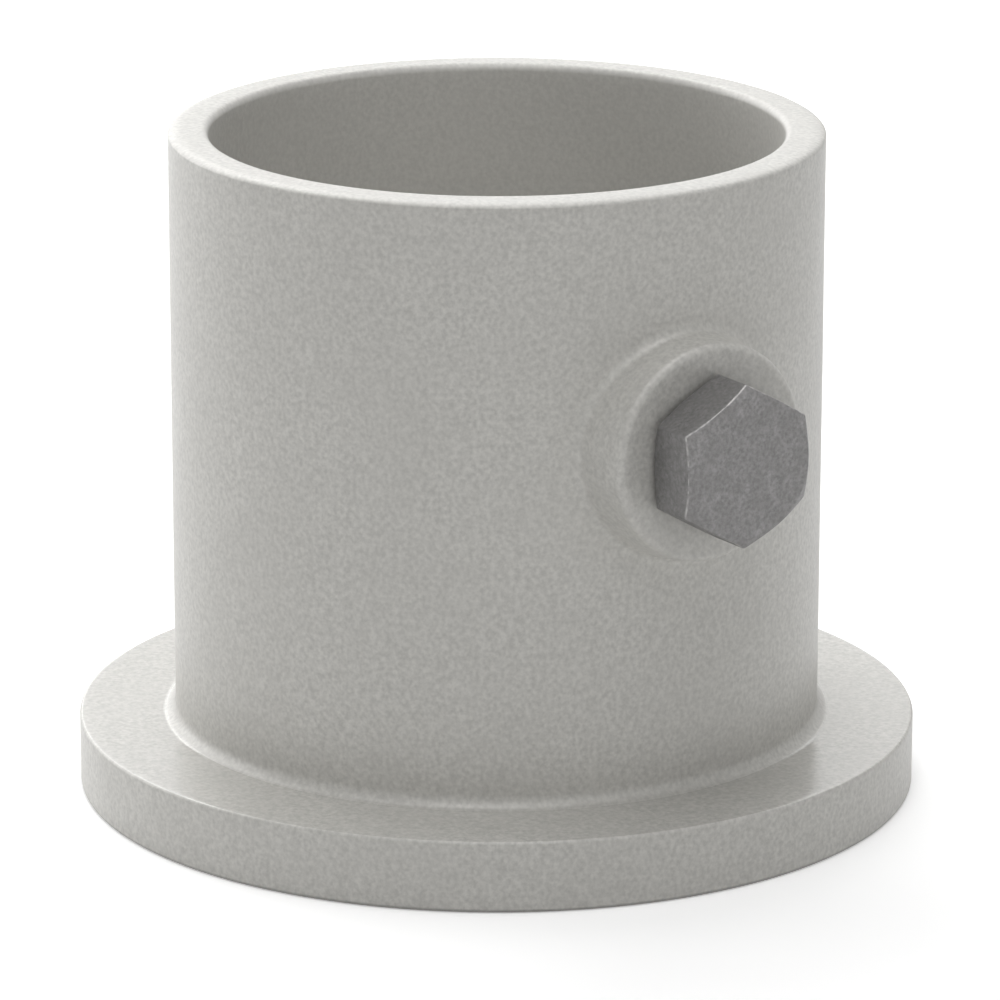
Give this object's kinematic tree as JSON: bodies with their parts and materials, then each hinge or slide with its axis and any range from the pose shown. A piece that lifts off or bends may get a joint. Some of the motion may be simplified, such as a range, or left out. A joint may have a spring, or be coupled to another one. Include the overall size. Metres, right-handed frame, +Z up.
{
  "type": "tube clamp base flange",
  "caption": "Round cast base flange with an upright tube socket; a hexagon head bolt in a side boss clamps the inserted tube.",
  "frame": {"origin": "centre of the tube bore at the underside of the flange", "axes": "+Z up along the tube bore, the way the tube leaves; +X out of the socket along the clamp bolt, towards its head"},
  "size_m": [0.0767, 0.0762, 0.0606],
  "materials": {
    "cast_aluminium": "satin",
    "bolt_steel": "satin"
  },
  "bodies": {
    "root": {"base_flange": "cast_aluminium", "clamp_bolt": "bolt_steel"}
  },
  "joints": []
}
